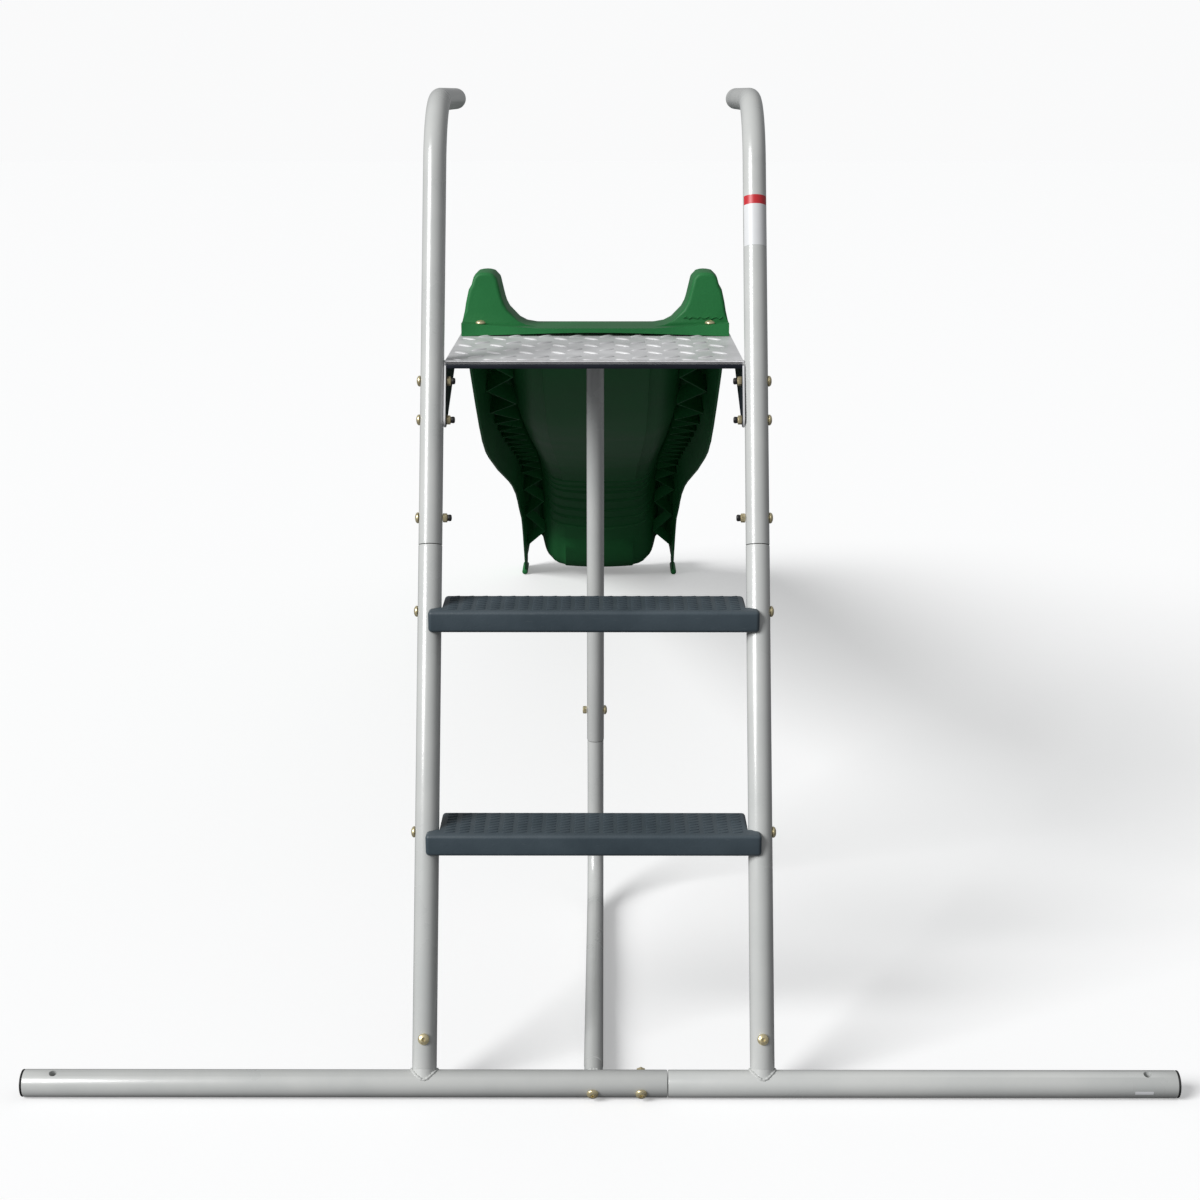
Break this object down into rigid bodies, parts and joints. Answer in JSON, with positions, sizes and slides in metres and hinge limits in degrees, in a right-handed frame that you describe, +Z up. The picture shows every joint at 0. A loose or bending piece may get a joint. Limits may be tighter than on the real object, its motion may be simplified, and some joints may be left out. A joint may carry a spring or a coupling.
{
  "type": "free-standing slide ladder",
  "caption": "Free-standing ladder with treads, handrails and a tread-plate deck on a long ground bar, carrying a moulded wave slide.",
  "frame": {"origin": "middle of the footprint, on the ground", "axes": "+Z up, +Y from the ladder's front towards the slide's exit, +X to the climber's right"},
  "size_m": [1.79, 3.4962, 1.514],
  "materials": {
    "grey_powder_coat": "gloss light grey powder coat",
    "grey_tread_plate": "light grey coated tread plate",
    "slate_plastic": "matte dark slate",
    "green_plastic": "satin green moulded",
    "black_plastic": "matte black",
    "yellow_zinc": "yellow zinc plate on steel"
  },
  "bodies": {
    "root": {"base_bar_left": "grey_powder_coat", "base_bar_right": "grey_powder_coat", "base_end_cap_left": "black_plastic", "base_end_cap_right": "black_plastic", "base_joint_inner_bolt": "yellow_zinc", "base_joint_outer_bolt": "yellow_zinc", "base_joint_outer_nut": "yellow_zinc", "deck_high_left_bolt": "yellow_zinc", "deck_high_left_cap": "black_plastic", "deck_high_left_nut": "yellow_zinc", "deck_high_right_bolt": "yellow_zinc", "deck_high_right_cap": "black_plastic", "deck_high_right_nut": "yellow_zinc", "deck_low_left_bolt": "yellow_zinc", "deck_low_left_cap": "black_plastic", "deck_low_left_nut": "yellow_zinc", "deck_low_right_bolt": "yellow_zinc", "deck_low_right_cap": "black_plastic", "deck_low_right_nut": "yellow_zinc", "handrail_left": "grey_powder_coat", "handrail_plug_left": "grey_powder_coat", "handrail_plug_right": "grey_powder_coat", "handrail_right": "grey_powder_coat", "lower_rail_left": "grey_powder_coat", "lower_rail_right": "grey_powder_coat", "platform_plate": "grey_tread_plate", "post_head_bolt": "yellow_zinc", "post_head_nut": "yellow_zinc", "post_joint_bolt": "yellow_zinc", "post_joint_nut": "yellow_zinc", "post_upper": "grey_powder_coat", "rail_joint_left_bolt": "yellow_zinc", "rail_joint_left_cap": "black_plastic", "rail_joint_left_nut": "yellow_zinc", "rail_joint_right_bolt": "yellow_zinc", "rail_joint_right_cap": "black_plastic", "rail_joint_right_nut": "yellow_zinc", "slide_chute": "green_plastic", "slide_left_bolt": "yellow_zinc", "slide_left_nut": "yellow_zinc", "slide_right_bolt": "yellow_zinc", "slide_right_nut": "yellow_zinc", "socket_left_bolt": "yellow_zinc", "socket_left_nut": "yellow_zinc", "socket_right_bolt": "yellow_zinc", "socket_right_nut": "yellow_zinc", "strut_lower": "grey_powder_coat", "tread_lower": "slate_plastic", "tread_lower_left_bolt": "yellow_zinc", "tread_lower_right_bolt": "yellow_zinc", "tread_upper": "slate_plastic", "tread_upper_left_bolt": "yellow_zinc", "tread_upper_right_bolt": "yellow_zinc"}
  },
  "joints": []
}
